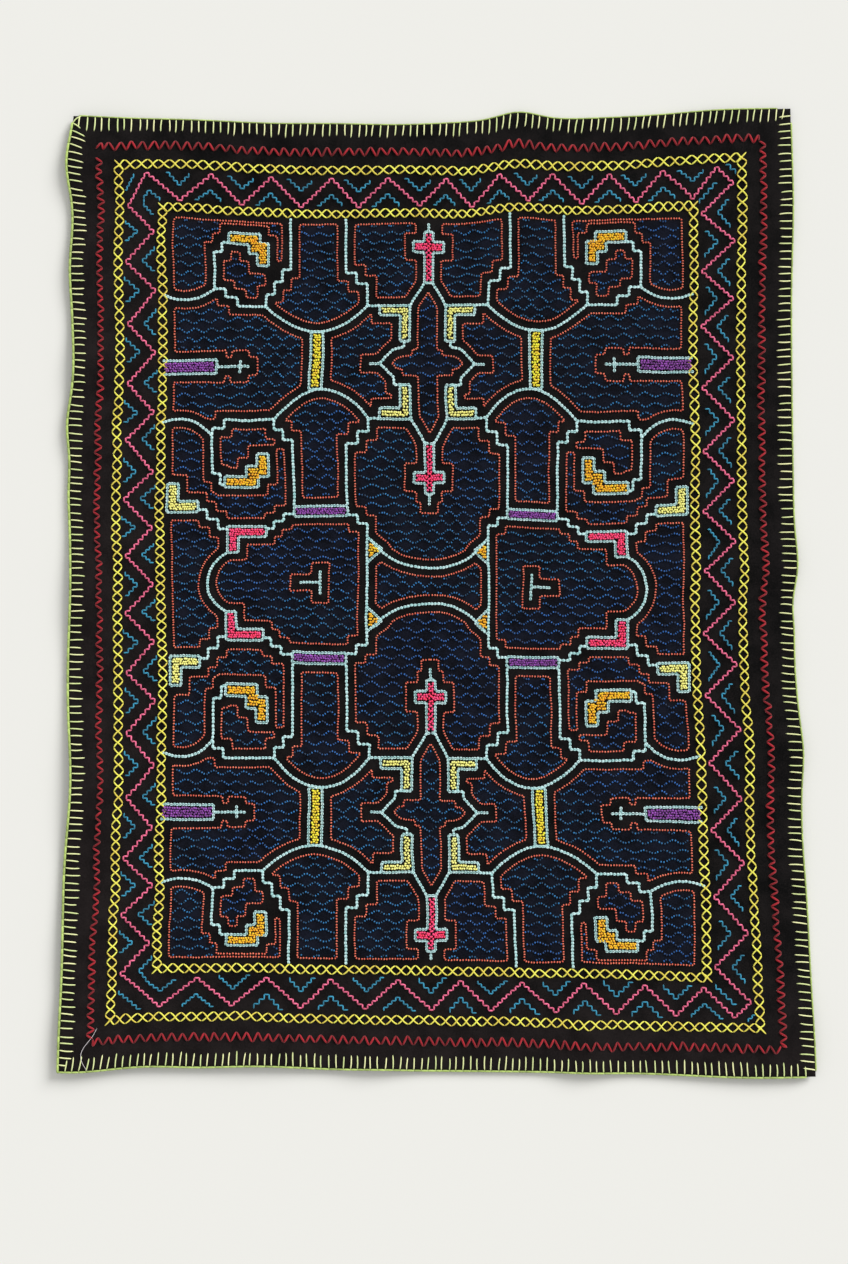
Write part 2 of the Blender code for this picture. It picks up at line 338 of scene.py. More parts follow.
def stray_share(depth):
    """How much of a side's stray acts at a depth."""
    grow = np.clip(depth / STRAY_FROM, 0, 1)
    fade = np.clip((STRAY_END - depth) / (STRAY_END - STRAY_TO), 0, 1)
    return grow * grow * fade * fade * (3 - 2 * fade)


def stray(s, t):
    """How far along s and along t the places of the stitches stray."""
    u = s / WIDTH
    v = t / LENGTH
    across = bumps_at(STRAYS, "left", 1 - v) * stray_share(s)
    across -= bumps_at(STRAYS, "right", 1 - v) * stray_share(WIDTH - s)
    up = bumps_at(STRAYS, "bottom", u) * stray_share(t)
    up -= bumps_at(STRAYS, "top", u) * stray_share(LENGTH - t)
    for middle_s, middle_t, half_s, half_t, move_s, move_t in DRIFTS:
        share = np.exp(-(((s - middle_s) / half_s) ** 2) - ((t - middle_t) / half_t) ** 2)
        across += move_s * share
        up += move_t * share
    return across, up


def before_stray(s, t):
    """The places from which stitches stray to these, found in two rounds."""
    across, up = stray(s, t)
    across, up = stray(s - across, t - up)
    return s - across, t - up


def lay(s, t):
    """World places of stitched points: on the face, and as uneven as hand work is."""
    share = inner_share(s, t)
    across, up = stray(s, t)
    s = s + across + (WANDER_BY * WANDER_S.at(s, t) + JOG_BY * JOG_S.at(s, t)) * share
    t = t + up + (WANDER_BY * WANDER_T.at(s, t) + JOG_BY * JOG_T.at(s, t)) * share
    x, y = plan(s, t)
    return np.stack([x, y, face_height(s, t)], axis=-1)


# Lines of the chart


def walk(text):
    """The points of a line of the chart, as an array of x, y."""
    points = []
    for kind, numbers in re.findall(r"([hvLa]?)(-?[\d.]+(?:,-?[\d.]+)*)", text):
        values = [float(n) for n in numbers.split(",")]
        if kind in ("", "L"):
            points.append(tuple(values))
        elif kind == "h":
            points.append((points[-1][0] + values[0], points[-1][1]))
        elif kind == "v":
            points.append((points[-1][0], points[-1][1] + values[0]))
        else:
            points += bend(points[-1], values[:2], values[2])
    return np.array(points)


def bend(start, end, bulge, pieces=24):
    """The points of a bow from start to end, without its start."""
    run = np.subtract(end, start)
    out = np.array((-run[1], run[0])) * bulge / np.hypot(*run)
    shares = np.arange(1, pieces + 1)[:, None] / pieces
    return list(start + run * shares + out * 4 * shares * (1 - shares))


def distance_chart(lines):
    """Distance in units from the nearest line, on a net over the quarter.

    It is square round upright and level lines, so that the coral lines have sharp corners too.
    """
    xs, ys = (np.arange(0, size + CHART_STEP / 2, CHART_STEP) for size in QUARTER)
    gx, gy = np.meshgrid(xs, ys, indexing="ij")
    best = np.minimum(gx - FRAME_ACROSS, gy - FRAME_DOWN)
    for points in lines:
        for mirror in ((False, False), (True, False), (False, True), (True, True)):
            placed = np.where(mirror, 2 * QUARTER - points, points)
            for a, b in zip(placed[:-1], placed[1:]):
                np.minimum(best, distance(gx, gy, a, b), out=best)
    return xs, ys, best


def distance(x, y, a, b):
    """How far places are from the piece of line a-b."""
    dx, dy = b - a
    if min(abs(dx), abs(dy)) < 1e-6:
        low = np.minimum(a, b)
        high = np.maximum(a, b)
        return np.max([low[0] - x, x - high[0], low[1] - y, y - high[1], 0 * x], axis=0)
    f = np.clip(((x - a[0]) * dx + (y - a[1]) * dy) / (dx * dx + dy * dy), 0, 1)
    return np.hypot(x - a[0] - f * dx, y - a[1] - f * dy)


def level_lines(xs, ys, chart, level):
    """The lines on which the chart has this level, as arrays of points, by marching over its squares."""
    above = chart > level
    links = {}
    squares = above[:-1, :-1].astype(int) + above[1:, :-1] + above[:-1, 1:] + above[1:, 1:]
    for i, j in zip(*np.nonzero((squares > 0) & (squares < 4))):
        here, right, far, up = (i, j), (i + 1, j), (i + 1, j + 1), (i, j + 1)
        edges = ((here, right), (right, far), (up, far), (here, up))
        cut = [edge for edge in edges if above[edge[0]] != above[edge[1]]]
        for one, other in zip(cut[::2], cut[1::2]):
            links.setdefault(one, []).append(other)
            links.setdefault(other, []).append(one)
    lines = []
    ends = [edge for edge in links if len(links[edge]) == 1]
    for start in ends + list(links):
        chain = [start]
        while links[chain[-1]]:
            following = links[chain[-1]].pop()
            links[following].remove(chain[-1])
            chain.append(following)
        if len(chain) > 1:
            lines.append(np.array([crossing(xs, ys, chart, level, edge) for edge in chain]))
    return lines


def crossing(xs, ys, chart, level, edge):
    """Where the level is met on an edge of the net."""
    (i, j), (k, m) = edge
    f = (level - chart[i, j]) / (chart[k, m] - chart[i, j])
    return xs[i] + (xs[k] - xs[i]) * f, ys[j] + (ys[m] - ys[j]) * f


def way_along(points):
    """How far along a line each of its points is."""
    return np.concatenate([[0], np.cumsum(np.hypot(*np.diff(points, axis=0).T))])


def points_at(points, along, places):
    return np.stack([np.interp(places, along, points[:, n]) for n in (0, 1)], axis=1)


def even_points(points, spacing):
    """Points at even spacing along a line, with both of its ends."""
    along = way_along(points)
    count = max(1, int(round(along[-1] / spacing)))
    return points_at(points, along, np.linspace(0, along[-1], count + 1))


def split_at_corners(points):
    """The runs of a line between its sharp corners."""
    fine = even_points(points, FINE_STEP)
    reach = CORNER_REACH
    if len(fine) < 2 * reach + 2:
        return [fine]
    before = fine[reach:-reach] - fine[: -2 * reach]
    after = fine[2 * reach :] - fine[reach:-reach]
    turn = np.arctan2(after[:, 1], after[:, 0]) - np.arctan2(before[:, 1], before[:, 0])
    turn = np.degrees(np.abs((turn + np.pi) % (2 * np.pi) - np.pi))
    corners = [0]
    for n in range(len(turn)):
        near = turn[max(0, n - reach) : n + reach + 1]
        if turn[n] > SHARP_TURN and turn[n] == near.max() and n > corners[-1]:
            corners.append(n + reach)
    corners.append(len(fine) - 1)
    return [fine[a : b + 1] for a, b in zip(corners, corners[1:]) if b > a]


def joined(pairs):
    """All the starts and all the ends of a list of pairs of them."""
    return tuple(np.concatenate(part) for part in zip(*pairs))


def stitch_ends(lines, spacing):
    """Starts and ends of the stitches along lines: runs between corners, evenly divided."""
    runs = [even_points(run, spacing) for points in lines for run in split_at_corners(points)]
    return joined([(run[:-1], run[1:]) for run in runs])


def on_cloth(chart_points, right, down):
    """Places on the cloth of chart points, in one quarter of the field."""
    return FIELD_MIDDLE + (QUARTER - chart_points) * UNIT * (1 if right else -1, -1 if down else 1)


def four_quarters(starts, ends):
    """The stitches of the quarter and of its mirror images. Those on a mirror line are kept once."""
    on_mirror = np.minimum(starts, ends) > QUARTER - ON_MIRROR
    quarters = []
    for right in (False, True):
        for down in (False, True):
            keep = ~(on_mirror & (right, down)).any(axis=1)
            quarters.append([on_cloth(part[keep], right, down) for part in (starts, ends)])
    return joined(quarters)


def chart_place(s, t):
    """The chart's x and y of places on the cloth, folded into the quarter."""
    x = QUARTER[0] - np.abs(s - FIELD_MIDDLE[0]) / UNIT[0]
    y = QUARTER[1] - np.abs(t - FIELD_MIDDLE[1]) / UNIT[1]
    return x, y


ALL_LINES = [walk(text) for text in AQUA_LINES + AQUA_OUTLINES + AQUA_SPIKES]
CHART_X, CHART_Y, FAR = distance_chart(ALL_LINES)


def coral_lines():
    """The coral lines, and the distance chart with the islands too small to stitch filled in."""
    kept = []
    for points in level_lines(CHART_X, CHART_Y, FAR, CORAL_AWAY):
        if way_along(points)[-1] >= SMALLEST_ISLAND:
            kept.append(points)
            continue
        i0, j0 = (points.min(axis=0) / CHART_STEP).astype(int)
        i1, j1 = (points.max(axis=0) / CHART_STEP).astype(int) + 2
        FAR[i0:i1, j0:j1] = np.minimum(FAR[i0:i1, j0:j1], CORAL_AWAY)
    return kept


CORAL_LINES = coral_lines()


def line_distance(s, t):
    """Distance in units from the nearest line of the chart, for places on the cloth."""
    x, y = chart_place(s, t)
    return np.where((x > 0) & (y > 0), net_value(FAR, x / CHART_STEP, y / CHART_STEP), 0.0)


def island_share(s, t):
    """1 inside the coral lines, 0 outside them, soft between."""
    return smooth(np.clip((line_distance(s, t) - CORAL_AWAY + ISLAND_RIM) / ISLAND_SOFT, 0, 1))


# Threads


SEAT = 0.3  # how deep a strand sits in the cloth, as a share of its radius
CHAIN_OVER = 1.18  # how long a loop of chain stitch is, as a share of the way to the next

Strands = namedtuple("Strands", "points quads tris shade twine")


def strands(
    starts, ends, radius, bulge=0.0, sway=0.0, rings=4, sides=5, raise_by=1.0, lift=0.0, blunt=0.35, vary=0.5
):
    """Tapered strands of thread between places on the cloth, one for each row of starts and ends.

    Each rises out of the cloth and dips back into it. In the cloth's face, bulge bows it to one side and
    sway bends it first to one side and then to the other.
    """
    count = len(starts)
    radius, bulge, sway = (np.broadcast_to(value, count)[:, None] for value in (radius, bulge, sway))
    f = np.linspace(0, 1, rings + 2)
    swell = np.sin(np.pi * f)
    bend_by = bulge * swell + sway * np.sin(2 * np.pi * f)
    run = ends - starts
    span = np.maximum(np.hypot(run[:, 0], run[:, 1]), 1e-9)[:, None]
    aside = np.stack([-run[:, 1], run[:, 0]], axis=1) / span
    middle = starts[:, None] + run[:, None] * f[:, None] + aside[:, None] * bend_by[..., None]
    centre = lay(middle[..., 0], middle[..., 1])
    along = np.gradient(centre, axis=1)
    along /= np.linalg.norm(along, axis=2)[..., None] + 1e-12
    side = np.stack([-along[..., 1], along[..., 0], np.zeros_like(along[..., 0])], axis=2)
    side /= np.linalg.norm(side, axis=2)[..., None] + 1e-12
    up = np.cross(along, side)
    thick = (radius * swell**blunt)[:, 1:-1, None, None]
    centre[..., 2] += radius * (raise_by * swell**0.6 - SEAT) + lift
    turn = 2 * np.pi * np.arange(sides) / sides
    cosine = np.cos(turn)[:, None]
    sine = np.sin(turn)[:, None]
    body = centre[:, 1:-1, None] + thick * (cosine * side[:, 1:-1, None] - sine * up[:, 1:-1, None])
    each = rings * sides + 2
    body = body.reshape(count, rings * sides, 3)
    points = np.concatenate([body, centre[:, :1], centre[:, -1:]], axis=1)
    ring = np.arange(sides)
    after = (ring + 1) % sides
    rows = np.arange(rings - 1)[:, None] * sides
    quads = np.stack([rows + ring, rows + after, rows + sides + after, rows + sides + ring], axis=-1)
    last_ring = (rings - 1) * sides
    first = np.stack([np.full(sides, each - 2), after, ring], axis=1)
    last = np.stack([np.full(sides, each - 1), last_ring + ring, last_ring + after], axis=1)
    shift = (np.arange(count) * each)[:, None, None]
    quads = (quads.reshape(-1, 4) + shift).reshape(-1, 4)
    tris = (np.concatenate([first, last]) + shift).reshape(-1, 3)
    shade = np.repeat(about(vary, count), each)
    twine = np.zeros((count, each, 3))
    twine[:, :-2, 0] = np.repeat((span * f)[:, 1:-1], sides, axis=1)
    twine[:, -1, 0] = span[:, 0]
    twine[:, :-2, 1:] = np.tile(np.hstack([cosine, sine]), (rings, 1))
    return Strands(points.reshape(-1, 3), quads, tris, shade, twine.reshape(-1, 3))


def chain(starts, ends, radius, half_width):
    """Chain stitch: each loop is two strands that part and meet again inside the next."""
    over = starts + (ends - starts) * CHAIN_OVER
    shape = {"rings": 3, "sides": 4, "raise_by": 1.3}
    return [strands(starts, over, radius, bulge=way * half_width, **shape) for way in (-1, 1)]


def mesh_from(name, points, quads, tris):
    """A mesh of quads and triangles from arrays."""
    mesh = bpy.data.meshes.new(name)
    mesh.vertices.add(len(points))
    mesh.vertices.foreach_set("co", np.ascontiguousarray(points, dtype=np.float32).ravel())
    corners = np.concatenate([quads.ravel(), tris.ravel()]).astype(np.int32)
    mesh.loops.add(len(corners))
    mesh.loops.foreach_set("vertex_index", corners)
    begins = np.concatenate([np.arange(len(quads)) * 4, len(quads) * 4 + np.arange(len(tris)) * 3])
    mesh.polygons.add(len(begins))
    mesh.polygons.foreach_set("loop_start", begins.astype(np.int32))
    mesh.update(calc_edges=True)
    mesh.validate()
    mesh.shade_smooth()
    return mesh


def give_values(mesh, name, values):
    """Gives each point of a mesh its own value, or its own three."""
    kind, field = ("FLOAT", "value") if values.ndim == 1 else ("FLOAT_VECTOR", "vector")
    mesh.attributes.new(name, kind, "POINT").data.foreach_set(field, values.ravel())


def add_object(name, data):
    made = bpy.data.objects.new(name, data)
    bpy.context.scene.collection.objects.link(made)
    return made


def add_piece(name, mesh, finish):
    made = add_object(name, mesh)
    mesh.materials.append(finish)
    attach(made, "root")
    return made


def thread_piece(name, batches, yarn_name):
    """One piece from batches of strands of a yarn."""
    shifts = np.cumsum([0] + [len(batch.points) for batch in batches])
    points, _, _, shade, twine = (np.concatenate(part) for part in zip(*batches))
    quads = np.concatenate([batch.quads + shift for batch, shift in zip(batches, shifts)])
    tris = np.concatenate([batch.tris + shift for batch, shift in zip(batches, shifts)])
    mesh = mesh_from(name, points, quads, tris)
    give_values(mesh, "shade", shade)
    give_values(mesh, "twine", twine)
    return add_piece(name, mesh, yarn(yarn_name))


# Finishes


class Finish:
    """A material in the making, with a short call for each kind of node that it needs."""

    def __init__(self, name, roughness, sheen, specular=0.3):
        self.made = bpy.data.materials.new(name)
        self.made.use_nodes = True
        self.tree = self.made.node_tree
        self.shader = self.tree.nodes["Principled BSDF"]
        self.shader.inputs["Roughness"].default_value = roughness
        self.shader.inputs["Specular IOR Level"].default_value = specular
        self.shader.inputs["Sheen Weight"].default_value = sheen
        self.shader.inputs["Sheen Roughness"].default_value = 0.5

    def node(self, kind, inputs=(), **settings):
        """Adds a node: settings are its own properties, inputs are values or links by socket."""
        made = self.tree.nodes.new(kind)
        for name, value in settings.items():
            setattr(made, name, value)
        for socket, value in dict(inputs).items():
            if isinstance(value, bpy.types.NodeSocket):
                self.tree.links.new(value, made.inputs[socket])
            else:
                made.inputs[socket].default_value = value
        return made.outputs

    def where(self):
        return self.node("ShaderNodeTexCoord")["Object"]

    def maths(self, operation, *values):
        return self.node("ShaderNodeMath", dict(enumerate(values)), operation=operation)[0]

    def noise(self, scale, detail):
        inputs = {"Vector": self.where(), "Scale": scale, "Detail": detail}
        return self.node("ShaderNodeTexNoise", inputs)["Fac"]

    def ribs(self, way):
        inputs = {"Vector": self.where(), "Scale": WEAVE_SCALE, "Distortion": 1.0}
        return self.node("ShaderNodeTexWave", inputs, bands_direction=way)["Fac"]

    def of_mesh(self, name, output="Fac"):
        """What the mesh says under this name at each of its points."""
        return self.node("ShaderNodeAttribute", attribute_name=name)[output]

    def ramp(self, share, low_at, low, high_at, high):
        """Colours from low to high by share, which spreads from low_at to high_at."""
        made = self.tree.nodes.new("ShaderNodeValToRGB")
        self.tree.links.new(share, made.inputs["Fac"])
        for stop, place, colour in zip(made.color_ramp.elements, (low_at, high_at), (low, high)):
            stop.position = place
            stop.color = (*colour, 1)
        return made.outputs["Color"]

    def mix(self, share, one, other, blend_type="MIX"):
        inputs = {"Fac": share, "Color1": one, "Color2": other}
        return self.node("ShaderNodeMixRGB", inputs, blend_type=blend_type)["Color"]

    def done(self, colour, height, strength, distance):
        """The material, once it has its colour and the small relief of its surface."""
        relief = self.node("ShaderNodeBump", {"Height": height, "Strength": strength, "Distance": distance})
        self.tree.links.new(colour, self.shader.inputs["Base Color"])
        self.tree.links.new(relief["Normal"], self.shader.inputs["Normal"])
        return self.made


# The yarns: colour, how far each stitch is darkened and lightened from it, and the slot of the pieces made
# with it
YARNS = {
    "lime_yarn": ((0.42, 0.55, 0.15), 0.75, 1.25, "edge_yarn"),
    "pale_lime_yarn": ((0.85, 1.0, 0.42), 0.84, 1.25, "edge_yarn"),
    "pale_thread": ((0.95, 0.86, 0.90), 0.80, 1.25, "edge_yarn"),
    "dark_red_yarn": ((0.34, 0.007, 0.016), 0.55, 1.25, "red_thread"),
    "yellow_yarn": ((1.0, 0.79, 0.105), 0.78, 1.30, "yellow_thread"),
    "pink_yarn": ((0.93, 0.145, 0.280), 0.70, 1.25, "pink_thread"),
    "cyan_yarn": ((0.030, 0.290, 0.460), 0.60, 1.25, "cyan_thread"),
    "coral_yarn": ((1.0, 0.140, 0.078), 0.82, 1.70, "coral_thread"),
    "blue_yarn": ((0.014, 0.150, 0.350), 0.25, 1.70, "blue_thread"),
    "aqua_yarn": ((0.55, 0.98, 0.97), 0.76, 1.35, "aqua_yarn"),
    # The knot fills are lightened widely so that some knots stand paler: partly uneven dye, partly painted
    # highlights, which are pale pink for the magenta
    "orange_yarn": ((1.0, 0.45, 0.010), 0.95, 1.50, "orange_yarn"),
    "amber_yarn": ((1.0, 0.68, 0.035), 0.90, 1.50, "gold_yarn"),
    "gold_yarn": ((1.0, 0.94, 0.24), 0.95, 1.40, "gold_yarn"),
    "purple_yarn": ((0.235, 0.052, 0.325), 0.65, 1.60, "purple_yarn"),
    "magenta_yarn": ((1.0, 0.038, 0.125), 1.00, 2.20, "magenta_yarn"),
}
# A yarn from several skeins, whose hue drifts towards this tint
SKEIN_TINTS = {"blue_yarn": (1.05, 0.70, 1.00)}
YARN_TWIST = 900.0  # turns in a metre
YARN_FUZZ = 0.35
WEAVE_SCALE = 330.0
BLACK = (0, 0, 0)
WHITE = (1, 1, 1)


@functools.cache
def yarn(name):
    """Dyed yarn: each stitch has its own shade, the dye is uneven along it, and its plies make ridges."""
    colour, dark, light, _ = YARNS[name]
    finish = Finish(name, 0.75, 0.15)
    uneven = finish.maths("ADD", finish.of_mesh("shade"), finish.noise(160.0, 3.0))
    dye = finish.ramp(uneven, 0, [c * dark for c in colour], 1, [min(c * light, 1) for c in colour])
    if name in SKEIN_TINTS:
        skein = finish.ramp(finish.noise(7.0, 1.0), 0.44, BLACK, 0.56, WHITE)
        dye = finish.mix(skein, dye, (*SKEIN_TINTS[name], 1), "MULTIPLY")
    parts = finish.node("ShaderNodeSeparateXYZ", {"Vector": finish.of_mesh("twine", "Vector")})
    angle = finish.maths("MULTIPLY", parts["X"], YARN_TWIST * 2 * math.pi)
    one = finish.maths("MULTIPLY", finish.maths("SINE", angle), parts["Y"])
    other = finish.maths("MULTIPLY", finish.maths("COSINE", angle), parts["Z"])
    plies = finish.maths("ADD", one, other)
    rough = finish.maths("MULTIPLY_ADD", finish.noise(2600.0, 2.0), YARN_FUZZ, plies)
    return finish.done(dye, rough, 0.5, 0.0002)


def black_cotton():
    """Plain weave dyed black, navy where the blue stitching is dense, and paler along two sides with painted
    sheen.
    """
    finish = Finish("black_cotton", 0.92, 0.03, 0.12)
    tone = finish.maths("ADD", finish.noise(900.0, 3.0), finish.noise(45.0, 5.0))
    tone = finish.maths("MULTIPLY", tone, 0.5)
    black = finish.ramp(tone, 0.40, (0.0005, 0.0004, 0.0004), 0.61, (0.0092, 0.0072, 0.0072))
    navy = finish.ramp(tone, 0.38, (0.0003, 0.0006, 0.0026), 0.62, (0.0060, 0.0080, 0.0175))
    dyed = finish.mix(finish.of_mesh("navy"), black, navy)
    # Painted sheen: a paler colour is added near the left and the bottom side
    with_painted_sheen = finish.mix(finish.of_mesh("painted_sheen"), dyed, (0.0052, 0.0034, 0.0034, 1), "ADD")
    weave = finish.maths("MULTIPLY", finish.ribs("X"), finish.ribs("Y"))
    height = finish.maths("ADD", weave, finish.noise(700.0, 4.0))
    return finish.done(with_painted_sheen, height, 0.35, 0.0003)


# Pieces


# The net of the ground: squares of the back across and up, and squares of the face to one of them
NET_ACROSS = 68
NET_UP = 89
COARSE = 3
PAINTED_SHEEN_TO = 0.10  # how far in the painted sheen makes the ground paler


def panel_net(across, up):
    """The places of a net over the panel, as its s and its t."""
    return np.meshgrid(np.linspace(0, WIDTH, across + 1), np.linspace(0, LENGTH, up + 1), indexing="ij")


def make_ground():
    """The panel as a thin closed sheet: a fine face, and a coarser back that its rim joins."""
    s, t = panel_net(NET_ACROSS * COARSE, NET_UP * COARSE)
    x, y = plan(s, t)
    face = np.stack([x, y, face_height(s, t)], axis=-1)
    back = np.stack([x, y, back_height(s, t)], axis=-1)[::COARSE, ::COARSE]
    back_size = back[..., 0].size
    face_ids = np.arange(s.size).reshape(s.shape)
    back_ids = s.size + np.arange(back_size).reshape(back.shape[:2])
    points = np.concatenate([face.reshape(-1, 3), back.reshape(-1, 3)])
    quads = np.concatenate([quads_of(face_ids), quads_of(back_ids)[:, ::-1]])
    tris = []
    rim_face = rim_of(face_ids)
    rim_back = rim_of(back_ids)
    for n, here in enumerate(rim_back):
        following = rim_back[(n + 1) % len(rim_back)]
        fine = [rim_face[(n * COARSE + k) % len(rim_face)] for k in range(COARSE + 1)]
        tris += [(here, fine[1], fine[0]), (here, following, fine[1])]
        tris += [(following, fine[k + 1], fine[k]) for k in range(1, COARSE)]
    mesh = mesh_from("cloth_ground", points, quads, np.array(tris))
    # Painted sheen: 1 along the left and the bottom side, fading out some centimetres in and towards the top
    painted_sheen = np.clip(1.25 - np.minimum(s, 1.3 * t) / PAINTED_SHEEN_TO, 0, 1)
    painted_sheen *= np.clip((LENGTH - t) / PAINTED_SHEEN_TO, 0, 1)
    for name, values in (("navy", island_share(*before_stray(s, t))), ("painted_sheen", painted_sheen)):
        give_values(mesh, name, np.concatenate([values.ravel(), np.zeros(back_size)]))
    made = add_piece("cloth_ground", mesh, black_cotton())
    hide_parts("cloth")
    return made


def quads_of(ids):
    return np.stack([ids[:-1, :-1], ids[1:, :-1], ids[1:, 1:], ids[:-1, 1:]], axis=-1).reshape(-1, 4)


def rim_of(ids):
    """The edge of a net of ids, once round."""
    return [*ids[:-1, 0], *ids[-1, :-1], *ids[:0:-1, -1], *ids[0, :0:-1]]


def band_sides(band):
    """The four sides of a band, once round: where each starts, how long it is, the way along it and in."""
    low_s = band.left
    high_s = WIDTH - band.right
    low_t = band.bottom
    high_t = LENGTH - band.top
    corners = np.array(((low_s, high_t), (high_s, high_t), (high_s, low_t), (low_s, low_t)))
    ways = np.array(((1, 0), (0, -1), (-1, 0), (0, 1)))
    for n in range(4):
        yield corners[n], np.abs(corners[(n + 1) % 4] - corners[n]).max(), ways[n], ways[(n + 1) % 4]


def to_and_fro(count, first):
    """1 and -1 in turn, from the first on."""
    return np.where(np.arange(count) % 2 == 0, first, -first)


# Four values are for the top, the right, the bottom and the left side
RED_SPACINGS = (0.0104, 0.0095, 0.0098, 0.0093)
RED_HALF_WIDTHS = (0.0047, 0.0040, 0.0047, 0.0036)
RED_RADIUS = 0.00108
# The thread of the red zigzag starts at the upper left, a little outside the line that it comes back on
RED_START = (
    (RED_BAND.left - 0.0041, LENGTH - RED_BAND.top - 0.0035),
    (RED_BAND.left + 0.0010, LENGTH - RED_BAND.top + 0.0038),
)
RED_UNEVEN_PLACE = 0.12
RED_UNEVEN_WIDTH = 0.18


def make_red_zigzag():
    """A zigzag round its band: each point is half a spacing on and on the other edge of the band."""
    points = [RED_START]
    for side, spacing, half_width in zip(band_sides(RED_BAND), RED_SPACINGS, RED_HALF_WIDTHS):
        start, length, along, inward = side
        count = 2 * int(round(length / spacing))
        shares = (np.arange(count) + 0.5 + about(RED_UNEVEN_PLACE, count)) / count
        out = half_width * (1 + about(RED_UNEVEN_WIDTH, count)) * to_and_fro(count, 1)
        points.append(start + along * length * shares[:, None] + inward * out[:, None])
    points = np.concatenate(points)[:-2]
    batch = strands(points[:-1], points[1:], RED_RADIUS, blunt=0.18)
    return thread_piece("red_zigzag", [batch], "dark_red_yarn")


OUTER_PITCHES = (0.0105, 0.0103, 0.0100, 0.0100)
INNER_PITCHES = (0.0094, 0.0102, 0.0097, 0.0092)
BRAID_HALF_WIDTH = 0.0042
BRAID_RADIUS = 0.00078
BRAID_SWAY = 0.0005
BRAID_OVER = 0.05  # how far the strands run past each turn, as a share of their length
BRAID_UNEVEN_PLACE = 0.06
BRAID_UNEVEN_WIDTH = 0.10
BRAID_PAST = 0.12  # pitches that a zigzag runs on past the corner
BRAID_NARROWED = 0.25  # its width there, as a share
BRAID_LIFT = 0.0004  # of the zigzag that lies on the other
BRAID_TAIL = (0.0014, -0.0052)  # the ends of the short tail across each corner


def make_braid(name, band, pitches):
    """A braid of two crossing zigzags with rounded turns, which leave a row of diamonds along each side."""
    batches = []
    for (start, length, along, inward), pitch in zip(band_sides(band), pitches):
        count = int(round(length / pitch))
        for phase in (0, 1):
            turn = to_and_fro(count + 2, 2.0 * phase - 1)
            place = np.arange(-1, count + 1) + 0.5 + about(BRAID_UNEVEN_PLACE, count + 2)
            place[[0, -1]] = (-BRAID_PAST, count + BRAID_PAST)
            out = BRAID_HALF_WIDTH * turn * (1 + about(BRAID_UNEVEN_WIDTH, count + 2))
            out[[0, -1]] *= BRAID_NARROWED
            points = start + along * length * place[:, None] / count + inward * out[:, None]
            over = BRAID_OVER * (points[1:] - points[:-1])
            a, b = points[:-1] - over, points[1:] + over
            shape = {"sway": -BRAID_SWAY * turn[:-1], "lift": BRAID_LIFT * phase, "rings": 7, "blunt": 0.05}
            batches.append(strands(a, b, BRAID_RADIUS, **shape))
        tail = [start[None] + way * (inward + along) for way in BRAID_TAIL]
        batches.append(strands(*tail, BRAID_RADIUS, rings=5))
    return thread_piece(name, batches, "yellow_yarn")


def stepped(corners, step):
    """The points of a stepped line through corner places: small moves along s and t in turn."""
    points = [np.array(corners[0], dtype=float)]
    for target in corners[1:]:
        start = points[-1]
        move = np.array(target) - start
        count = max(1, int(round(np.abs(move).max() / step)))
        for n in range(1, count + 1):
            points.append(start + move * [n / count, (n - 1) / count])
            points.append(start + move * n / count)
    return np.array(points)


def stepped_stitches(lines, step, over=0.12):
    """Starts and ends of the stitches along stepped lines, each a little over-long."""
    found = []
    for line in lines:
        points = stepped(line, step)
        moved = np.hypot(*np.diff(points, axis=0).T) > SHORTEST_STEP
        found.append((points[:-1][moved], points[1:][moved]))
    starts, ends = joined(found)
    return starts, ends + (ends - starts) * over


# The chevron band, side by side once round: how far in its outer and its inner points lie, how far its
# first and its last outer points are from the neighbouring sides, how many chevrons lie between them, how
# much wider they grow, and half the width and the depth of the small chevrons in their bends
Chevrons = namedtuple("Chevrons", "outer inner first last count growth small_half small_deep")
CHEVRONS = (
    Chevrons(0.0545, 0.0822, 0.0700, 0.0735, 10, -0.09, 0.0118, 0.0112),
    Chevrons(0.0566, 0.0868, 0.0714, 0.0685, 13, 0.09, 0.0132, 0.0114),
    Chevrons(0.0565, 0.0836, 0.0695, 0.0930, 9, 0.11, 0.0136, 0.0132),
    Chevrons(0.0541, 0.0800, 0.0915, 0.0830, 13, 0.00, 0.0110, 0.0122),
)
CHEVRON_STEP = 0.0045
SHORTEST_STEP = 0.0004
CHEVRON_UNEVEN = 0.0014
PINK_RADIUS = 0.00088


def chevron_sides():
    """Each side of the chevron band: its points, outer and inner ones in turn, and the ways along and in."""
    sides = []
    uneven = np.random.default_rng(21)
    for chevrons, (start, length, along, inward) in zip(CHEVRONS, band_sides(Band(0, 0, 0, 0))):
        share = np.linspace(0, 1, 2 * chevrons.count + 1)
        share -= chevrons.growth * share * (1 - share)
        reach = chevrons.first + (length - chevrons.last - chevrons.first) * share
        reach[1:-1] += uneven.uniform(-CHEVRON_UNEVEN, CHEVRON_UNEVEN, len(reach) - 2)
        depth = np.where(np.arange(len(reach)) % 2 == 0, chevrons.outer, chevrons.inner)
        sides.append((start + along * reach[:, None] + inward * depth[:, None], along, inward))
    return sides


def make_pink_chevrons():
    corners = [point for points, _, _ in chevron_sides() for point in points]
    starts, ends = stepped_stitches([corners + corners[:1]], CHEVRON_STEP)
    batch = strands(starts, ends, PINK_RADIUS, blunt=0.22)
    return thread_piece("pink_chevrons", [batch], "pink_yarn")


# The small chevrons that lie in the bends of the pink line
CYAN_STEP = 0.0040
CYAN_RADIUS = 0.00074
CYAN_APART = 0.0158  # between the points of a pink and of a small chevron
CYAN_OVER = (0.12, 0.16)  # how far a stitch runs past its start and its end, as a share of its length
CYAN_UNEVEN_DEEP = (-0.10, 0.06)
CYAN_UNEVEN_WIDE = (-0.12, 0.08)
